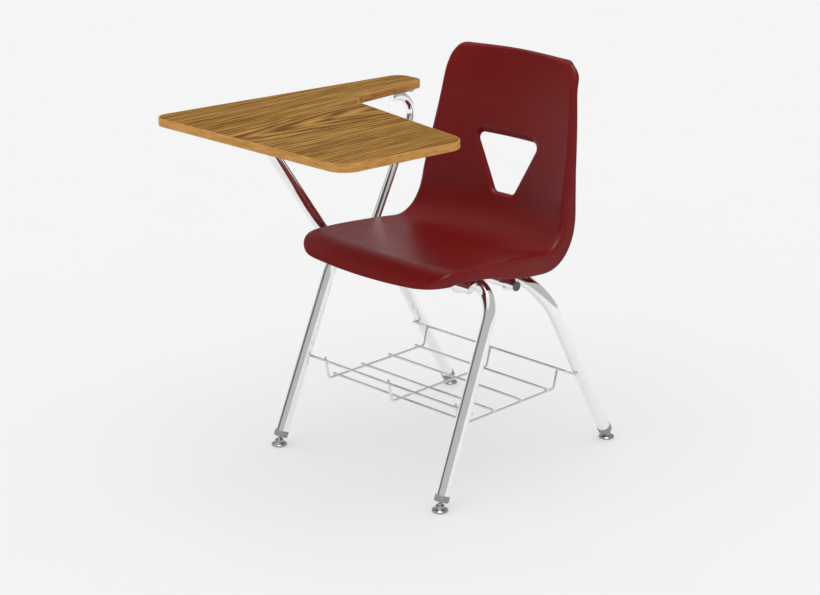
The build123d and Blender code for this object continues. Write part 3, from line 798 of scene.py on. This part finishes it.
# ---- frame tubes
TUBE_R, SLIM_R = 0.013, 0.0096
TUBE_SIDES = 56
TUBE_STEP = math.radians(2.5)
BALL_Z = 0.011           # height of each glide's ball
TUBE_START = 0.011       # from the ball up the leg to the tube's foot
FRONT_RAKE = (-0.0266, 0.415)    # run in X and Y per unit of height, up the left leg
REAR_RAKE = (-0.0033, -0.578)
FRONT_BAR_Z, REAR_BAR_Z = 0.398, 0.388
FRONT_BEND, REAR_BEND = 0.068, 0.095
TABLET_Z, TABLET_T, PLATE_T = 0.684, 0.016, 0.003
PLATE_FOOT = TABLET_Z - TABLET_T - PLATE_T
FRONT_ARM = [(0.206, -0.0914, 0.395), (-0.165, -0.0914, 0.395), (-0.223, -0.0766, 0.3965),
             (-0.223, -0.259, PLATE_FOOT - TUBE_R), (-0.138, -0.330, PLATE_FOOT - TUBE_R)]
FRONT_ARM_BENDS = [0.060, 0.032, 0.046]
CUT_END_X = 0.178        # where the front arm's oblique end crosses its axis
CUT_END_SLOPE = 0.6      # run in X per unit of height along the cut
REAR_ARM = [(0.190, 0.018, 0.377), (-0.2285, 0.0345, 0.380), (-0.2575, 0.2130, PLATE_FOOT - SLIM_R),
            (-0.2575, 0.127, PLATE_FOOT - SLIM_R)]
REAR_ARM_BENDS = [0.036, 0.038]


def leg_axis(foot, rake, side=1):
    """Ball centre and the unit vector up the leg; side is 1 for +X and -1 for -X."""
    return Vector((foot[0] * side, foot[1], BALL_Z)), Vector((rake[0] * side, rake[1], 1)).normalized()


def leg_points(foot, rake, bar_z):
    """Corners of one inverted-U leg frame's axis."""
    ball, up = leg_axis(foot, rake)
    start = ball + up * TUBE_START
    top = ball + up * ((bar_z - BALL_Z) / up.z)
    half = [start, top]
    return half + [Vector((-p.x, p.y, p.z)) for p in half[::-1]]


def tube_object(name, points, bends, radius, node):
    path = rounded(points, bends, step=TUBE_STEP)
    place(mesh_object(name, *sweep(path, radius, TUBE_SIDES), MAT["chrome"]), ROOT, "chrome_tube", node)


tube_object("front_leg_tube", leg_points(FRONT_FOOT, FRONT_RAKE, FRONT_BAR_Z), [FRONT_BEND] * 2, TUBE_R,
            "front_leg_frame")
tube_object("rear_leg_tube", leg_points(REAR_FOOT, REAR_RAKE, REAR_BAR_Z), [REAR_BEND] * 2, TUBE_R,
            "rear_leg_frame")


def cut_arm():
    """Front arm tube whose near end is closed by an oblique face that looks down and outward."""
    points, faces = sweep(rounded(FRONT_ARM, FRONT_ARM_BENDS, step=TUBE_STEP), TUBE_R, TUBE_SIDES)
    for k in range(TUBE_SIDES):
        p = points[k]
        points[k] = Vector((CUT_END_X + (p.z - FRONT_ARM[0][2]) * CUT_END_SLOPE, p.y, p.z))
    return points, faces


solid("tablet_arm_front", cut_arm(), "chrome", ROOT, "chrome_tube", "front_arm_tube", "front_arm_tube_plug")
tube_object("tablet_arm_rear", REAR_ARM, REAR_ARM_BENDS, SLIM_R, "rear_arm_tube")


BOSS_R = 0.017
BOSS_BORE = 0.0056       # clears the screw
BOSS_FOOT_R = (BOSS_BORE, 0.0085, 0.0115, 0.0140, 0.0160, 0.0167)   # radii of the foot's rings
BOSS_GAP = 0.0001        # between the foot and the tube
BOSS_ROUND = 0.0004      # height of the round at the foot's outer edge
BOSS_TOP = 0.003         # how far the post ends below the seat's upper face
LEG_BAR_FACE = -0.0777   # the front bosses stop short of the front leg frame's cross bar
FRONT_SCREW_X, REAR_SCREW_X = 0.138, 0.165


def boss(x, y, z, tube, lean):
    """Moulded post from the seat's underside, its foot hollowed to sit on a tube of the given radius.
    (x, y, z) is on the tube's axis, and lean is the axis's run in Y per unit of X."""
    sides = 48
    crown = Section(S_FRONT + (y - CREST[0]) / math.cos(SEAT_DIR)).flat_point(x).z - BOSS_TOP
    rings = [(radius, None) for radius in BOSS_FOOT_R]
    rings += [(BOSS_R, 0.0006), (BOSS_R, 0.4), (BOSS_R, 0.8), (BOSS_R, 1.0), (BOSS_BORE, 1.0)]
    points = []
    for radius, height in rings:
        for k in range(sides):
            a = 2 * math.pi * k / sides
            px, py = x + radius * math.cos(a), y + radius * math.sin(a)
            if tube == TUBE_R:
                py = min(py, LEG_BAR_FACE)
            off = py - y - lean * (px - x)
            foot = z + max(math.sqrt(max(0, tube**2 - off**2)), tube * 0.55)
            if height is None:
                points.append((px, py, foot + BOSS_GAP))
            else:
                points.append((px, py, foot + BOSS_ROUND + (crown - foot - BOSS_ROUND) * height))
    return points, ring_faces(len(rings), sides, closed=True)


posts = []
REAR_LEAN = (REAR_ARM[1][1] - REAR_ARM[0][1]) / (REAR_ARM[1][0] - REAR_ARM[0][0])
REAR_RISE = (REAR_ARM[1][2] - REAR_ARM[0][2]) / (REAR_ARM[1][0] - REAR_ARM[0][0])
for x in (-FRONT_SCREW_X, FRONT_SCREW_X):
    posts.append(boss(x, FRONT_ARM[0][1], FRONT_ARM[0][2], TUBE_R, 0.0))
for x in (-REAR_SCREW_X, REAR_SCREW_X):
    run = x - REAR_ARM[0][0]
    y, z = REAR_ARM[0][1] + REAR_LEAN * run, REAR_ARM[0][2] + REAR_RISE * run
    posts.append(boss(x, y, z, SLIM_R, REAR_LEAN))
solid("seat_bosses", joined(posts), "shell", ROOT, "shell_plastic")


# ---- book rack
WIRE_R = 0.0025
WIRE_SIDES = 20
WIRE_TIP = 0.75          # radius of a wire's end face, as a share of the wire's
WIRE_SOFT = 0.0006       # length of the taper at a wire's end
RAIL_GAP = 0.0001        # between rail and leg
RACK_Z = 0.130           # axis height of the cross wires
RAIL_Z = (0.1725, 0.1675)                   # front and rear
RAIL_HALF = (0.229, 0.227)
CROSS_X = {"right": -0.180, "middle": 0.0, "left": 0.180}
CROSS_BENDS = [0.008, 0.008]
FLOOR_WIRE_Y = (-0.1098, -0.0315, 0.0469, 0.1252)


def rail_y(foot, rake, z, sign):
    """Y of a rail's axis beside the legs; sign is 1 behind them and -1 in front."""
    reach = TUBE_R + WIRE_R + RAIL_GAP
    return foot[1] + rake[1] * (z - BALL_Z) + sign * reach * math.sqrt(1 + rake[1]**2)


FRONT_RAIL_Y = rail_y(FRONT_FOOT, FRONT_RAKE, RAIL_Z[0], 1)
REAR_RAIL_Y = rail_y(REAR_FOOT, REAR_RAKE, RAIL_Z[1], -1)


def wire(name, points, radii, *nodes):
    """Bar with softly rounded ends."""
    path = rounded(points, radii, step=math.radians(6))
    first = (path[0] - path[1]).normalized()
    last = (path[-1] - path[-2]).normalized()
    path = [path[0], path[0] - first * WIRE_SOFT] + path[1:-1] + [path[-1] - last * WIRE_SOFT, path[-1]]
    radii_along = [WIRE_R * WIRE_TIP] + [WIRE_R] * (len(path) - 2) + [WIRE_R * WIRE_TIP]
    place(mesh_object(name, *sweep(path, radii_along, WIRE_SIDES), MAT["wire"]), ROOT, "chrome_wire", *nodes)


for name, y, z, half in (("front", FRONT_RAIL_Y, RAIL_Z[0], RAIL_HALF[0]),
                         ("rear", REAR_RAIL_Y, RAIL_Z[1], RAIL_HALF[1])):
    wire(f"rack_rail_{name}", [(-half, y, z), (half, y, z)], [], f"rack_{name}_rail")
lay = RACK_Z + 2 * WIRE_R               # the floor wires lie on the cross wires
floor_parts = []
for y in FLOOR_WIRE_Y:
    run = [Vector((x, y, lay)) for x in (-0.1848, -0.1842, 0.1842, 0.1848)]
    floor_parts.append(sweep(run, [WIRE_R * WIRE_TIP, WIRE_R, WIRE_R, WIRE_R * WIRE_TIP], WIRE_SIDES))
long_wires = mesh_object("rack_long_wires", *joined(floor_parts), MAT["wire"])
place(long_wires, ROOT, "chrome_wire", "rack_floor_wires")
touch_front, touch_rear = FRONT_RAIL_Y + 2 * WIRE_R, REAR_RAIL_Y - 2 * WIRE_R
for side, x in CROSS_X.items():
    corners = [(x, touch_front - 0.0008, RAIL_Z[0] + 0.005), (x, touch_front + 0.009, RACK_Z),
               (x, touch_rear - 0.010, RACK_Z), (x, touch_rear + 0.0008, RAIL_Z[1] + 0.005)]
    wire(f"rack_cross_{side}", corners, CROSS_BENDS, f"rack_cross_wire_{side}")


def weld(centre, radii, seed):
    """A small uneven bead of weld metal."""
    rng = random.Random(seed)
    bm = bmesh.new()
    bmesh.ops.create_icosphere(bm, subdivisions=3, radius=1.0)
    phase = [rng.uniform(0, 6.28) for _ in range(3)]     # close to one full turn
    for v in bm.verts:
        wobble = 1 + 0.10 * math.sin(5 * v.co.x + phase[0]) * math.sin(4 * v.co.y + phase[1])
        wobble += 0.05 * math.sin(9 * v.co.z + phase[2])
        v.co = Vector((v.co.x * radii[0], v.co.y * radii[1], v.co.z * radii[2])) * wobble + Vector(centre)
    points = [v.co.copy() for v in bm.verts]
    faces = [tuple(v.index for v in f.verts) for f in bm.faces]
    bm.free()
    return points, faces


# Half sizes of the beads between two wires, between wire and rail, and between rail and leg.
FLOOR_BEAD, RAIL_BEAD = (0.0024, 0.0024, 0.0017), (0.0024, 0.0016, 0.0026)
LEG_BEAD = (0.0048, 0.0022, 0.0028)
beads = []
for n, y in enumerate(FLOOR_WIRE_Y):
    for k, x in enumerate(CROSS_X.values()):
        beads.append(weld((x, y, RACK_Z + WIRE_R), FLOOR_BEAD, 10 * n + k))
for k, x in enumerate(CROSS_X.values()):
    beads.append(weld((x, FRONT_RAIL_Y + WIRE_R, RAIL_Z[0]), RAIL_BEAD, 60 + k))
    beads.append(weld((x, REAR_RAIL_Y - WIRE_R, RAIL_Z[1]), RAIL_BEAD, 70 + k))
for side in (-1, 1):
    for foot, rake, z, sign in ((FRONT_FOOT, FRONT_RAKE, RAIL_Z[0], 1),
                                (REAR_FOOT, REAR_RAKE, RAIL_Z[1], -1)):
        x = side * (foot[0] + rake[0] * (z - BALL_Z))
        y = foot[1] + rake[1] * (z - BALL_Z) + sign * TUBE_R * math.sqrt(1 + rake[1]**2)
        beads.append(weld((x, y, z - 0.0015 * sign), LEG_BEAD, 80 + side + sign))
weld_beads = mesh_object("rack_weld_beads", *joined(beads), MAT["wire"])
place(weld_beads, ROOT, "chrome_wire")


# ---- tablet
# Outline corners (X, Y) with their radii, from the outer front corner round by the sitter's side.
TABLET_CORNERS = [((-0.3745, -0.3990), 0.031), ((0.1585, -0.4015), 0.040), ((0.1815, -0.1130), 0.040),
                  ((-0.1795, -0.0360), 0.025), ((-0.2188, -0.0020), 0.022), ((-0.2380, 0.2070), 0.027),
                  ((-0.3135, 0.2070), 0.030)]


def tablet_loop(inset, count=14):
    """Outline of the tablet drawn in by a margin, with the same number of points for any margin."""
    corners = [Vector(p) for p, _ in TABLET_CORNERS]
    n = len(corners)
    out = []
    for i, (corner, (_, radius)) in enumerate(zip(corners, TABLET_CORNERS)):
        a = (corners[i - 1] - corner).normalized()
        b = (corners[(i + 1) % n] - corner).normalized()
        angle = a.angle(b)
        convex = a.x * b.y - a.y * b.x < 0
        half = angle / 2
        sign = 1 if convex else -1      # the notch's corner turns the other way
        bisector = (a + b).normalized()
        shifted = corner + bisector * sign * inset / math.sin(half)
        r = radius - sign * inset
        middle = shifted + bisector * (r / math.sin(half))
        start = shifted + a * (r / math.tan(half)) - middle
        spin = (math.pi - angle) * sign
        for k in range(count + 1):
            t = spin * k / count
            c, s = math.cos(t), math.sin(t)
            out.append(middle + Vector((start.x * c - start.y * s, start.x * s + start.y * c)))
    return out


def outline_rings(levels):
    """The tablet's outline at each (inset, height) level, and the number of points in one."""
    rings = [[(p.x, p.y, z) for p in tablet_loop(inset)] for inset, z in levels]
    return sum(rings, []), len(rings[0])


def slab(levels):
    """A sheet in the tablet's outline, closed by one face above and one below."""
    points, size = outline_rings(levels)
    return points, capped(len(levels), size)


TOP, FOOT = TABLET_Z, TABLET_Z - TABLET_T
BAND_IN = 0.0021         # inset of the joint between the edge band and the sheets
EDGE_IN, EDGE_DROP = 0.0013, 0.0022     # the band's upper round, inward and downward
edge_levels = [(BAND_IN, TOP - 0.0009), (0.0020, TOP - 0.00025), (0.0017, TOP - 0.00005), (EDGE_IN, TOP)]
for k in range(1, 9):
    a = math.pi / 2 * k / 8
    edge_levels.append((EDGE_IN * (1 - math.sin(a)), TOP - EDGE_DROP * (1 - math.cos(a))))
edge_levels += [(0.0, FOOT + 0.0012), (0.0003, FOOT + 0.0005), (0.0008, FOOT + 0.0001), (0.0020, FOOT)]
points, size = outline_rings(edge_levels)
strip = (points, ring_faces(len(edge_levels), size, closed=True))
solid("tablet_edging", strip, "band", ROOT, "edge_band", "tablet_edge_band")

top_levels = [(BAND_IN, TOP - 0.0009), (BAND_IN, TOP - 0.0002), (0.0023, TOP - 0.00002), (0.0027, TOP)]
solid("tablet_writing_surface", slab(top_levels), "oak", ROOT, "oak_laminate", "tablet_top_laminate",
      smooth=False)

under_levels = [(BAND_IN, FOOT + 0.0006), (BAND_IN, FOOT + 0.00005), (0.0024, FOOT)]
solid("tablet_underside", slab(under_levels), "backing", ROOT, "backing_sheet", "tablet_backing_sheet",
      smooth=False)


# ---- feet
# (radius, height) profiles: sleeve and stud up the leg from the ball, cup and sole up from the floor.
BALL_R, NECK_R = 0.006, 0.0025
SLEEVE = soft_profile([(0.0, 0.008), (0.0128, 0.008), (0.0142, 0.0098), (0.0142, 0.0200), (0.0136, 0.0210),
                       (0.0130, 0.0211)], 0.0006)
STUD = [(0.0, -BALL_R)]
STUD += [(BALL_R * math.sin(a), -BALL_R * math.cos(a)) for a in (math.radians(d) for d in range(15, 151, 15))]
STUD += [(NECK_R, 0.0060), (NECK_R, 0.0085)]
CUP = soft_profile([(0.0140, 0.0012), (0.0147, 0.0008), (0.0155, 0.0012), (0.0155, 0.0042), (0.0136, 0.0057),
                    (0.0098, 0.0074), (0.0083, 0.0094), (0.0082, 0.0124), (0.0078, 0.0130),
                    (0.0064, 0.0130), (0.0058, 0.0118)], 0.0006)
SOLE = soft_profile([(0.0, 0.0), (0.0132, 0.0), (0.0142, 0.0009), (0.0142, 0.0026), (0.0, 0.0026)], 0.0004)


for row, foot, rake in (("front", FRONT_FOOT, FRONT_RAKE), ("rear", REAR_FOOT, REAR_RAKE)):
    for name, side in (("left", 1), ("right", -1)):
        tag = f"{row}_{name}"
        glide = f"{tag}_glide"
        ball, up = leg_axis(foot, rake, side)
        centre = (ball.x, ball.y, 0)
        solid(f"{tag}_foot_sleeve", turned(SLEEVE, ball, up), "grey", ROOT, "grey_plastic", f"{tag}_ferrule")
        solid(f"{tag}_ball_stud", turned(STUD, ball, up, 32), "nickel", ROOT, "zinc_steel", f"{tag}_stud")
        solid(f"{tag}_swivel_cup", turned(CUP, centre, (0, 0, 1)), "nickel", glide, "glide_nickel",
              f"{tag}_glide_cup")
        solid(f"{tag}_sole", turned(SOLE, centre, (0, 0, 1)), "nylon", glide, "glide_nylon",
              f"{tag}_glide_pad")


# ---- CAD nodes that stay
KEPT = {"stretcher_left": "chrome", "stretcher_right": "chrome", "rear_arm_tube_plug": "dark",
        "seat_screws": "bright_zinc", "seat_screw_saddles": "bright_zinc", "seat_inserts": "brass",
        "tablet_core": "board", "front_tablet_plate": "zinc", "rear_tablet_plate": "zinc",
        "front_tablet_screws": "zinc", "rear_tablet_screws": "zinc"}
for node, look in KEPT.items():
    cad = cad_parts[node]
    if not cad.material_slots:
        cad.data.materials.append(MAT[look])
    for slot in cad.material_slots:
        slot.link = "OBJECT"
        slot.material = MAT[look]


# ---- floor, light and camera
def floor_material():
    m = Nodes("pale_floor")
    shade = m.noise(m.coords(), 3.0)
    tone = m.ramp(shade, [(0.3, (0.902, 0.902, 0.902)), (0.7, (0.908, 0.908, 0.908))])
    m.set(Base_Color=tone, Roughness=0.9, Specular_IOR_Level=0.0)
    return m.material


def rectangle(name, w, h):
    """Flat mesh in the XY plane with half sizes w and h."""
    mesh = bpy.data.meshes.new(name)
    mesh.from_pydata([(-w, -h, 0), (w, -h, 0), (w, h, 0), (-w, h, 0)], [], [(0, 1, 2, 3)])
    return mesh


FLOOR_HALF = 40
floor_mesh = rectangle("floor", FLOOR_HALF, FLOOR_HALF)
floor = bpy.data.objects.new("floor", floor_mesh)
floor_mesh.materials.append(floor_material())
bpy.context.scene.collection.objects.link(floor)


def aimed(name, data, location, target):
    """Object whose -Z axis points from its location to the target."""
    obj = bpy.data.objects.new(name, data)
    obj.location = location
    obj.rotation_euler = (Vector(target) - Vector(location)).to_track_quat("-Z", "Y").to_euler()
    bpy.context.scene.collection.objects.link(obj)
    return obj


def soft_sun(name, location, power, spread, shadow=True):
    """Sun shining from a location towards the origin, its disc spread degrees wide."""
    data = bpy.data.lights.new(name, "SUN")
    data.energy = power
    data.angle = math.radians(spread)
    data.use_shadow = shadow
    return aimed(name, data, location, (0, 0, 0))


def dark_card(name, location, size):
    """Upright grey card that only the glossy parts see: the dark line down each front chrome tube."""
    mesh = rectangle(name, size[0] / 2, size[1] / 2)
    card = aimed(name, mesh, location, (0, 0, location[2]))
    mesh.materials.append(plastic_material(name, (0.20, 0.20, 0.20), 0.9))
    for ray in ("camera", "diffuse", "transmission", "volume_scatter", "shadow"):
        setattr(card, "visible_" + ray, False)


soft_sun("key", (-0.5, -0.9, 3.2), 0.50, 80)
soft_sun("fill", (0.4, -0.4, 3.0), 1.15, 20, shadow=False)
dark_card("card_left", (-1.8, -2.2, 1.15), (1.7, 1.8))

bpy.context.scene.view_settings.view_transform = "Standard"
world = bpy.data.worlds.new("studio")
bpy.context.scene.world = world
world.use_nodes = True
background = world.node_tree.nodes["Background"]
background.inputs["Color"].default_value = (1, 1, 1, 1)
background.inputs["Strength"].default_value = 0.50

SENSOR = 36.0                           # mm
FOCAL_PIXELS, PICTURE_WIDTH = 1905.6, 820
CAMERA_DOWN, CAMERA_TURN = 18.56, 44.69  # degrees
camera_data = bpy.data.cameras.new("camera")
camera_data.sensor_width = SENSOR
camera_data.lens = SENSOR * FOCAL_PIXELS / PICTURE_WIDTH
camera_data.clip_end = 100
camera = bpy.data.objects.new("camera", camera_data)
camera.location = Vector((2.4656, -2.5693, 1.5094)) + SHIFT
camera.rotation_euler = (math.radians(90 - CAMERA_DOWN), 0, math.radians(CAMERA_TURN))
bpy.context.scene.collection.objects.link(camera)
bpy.context.scene.camera = camera
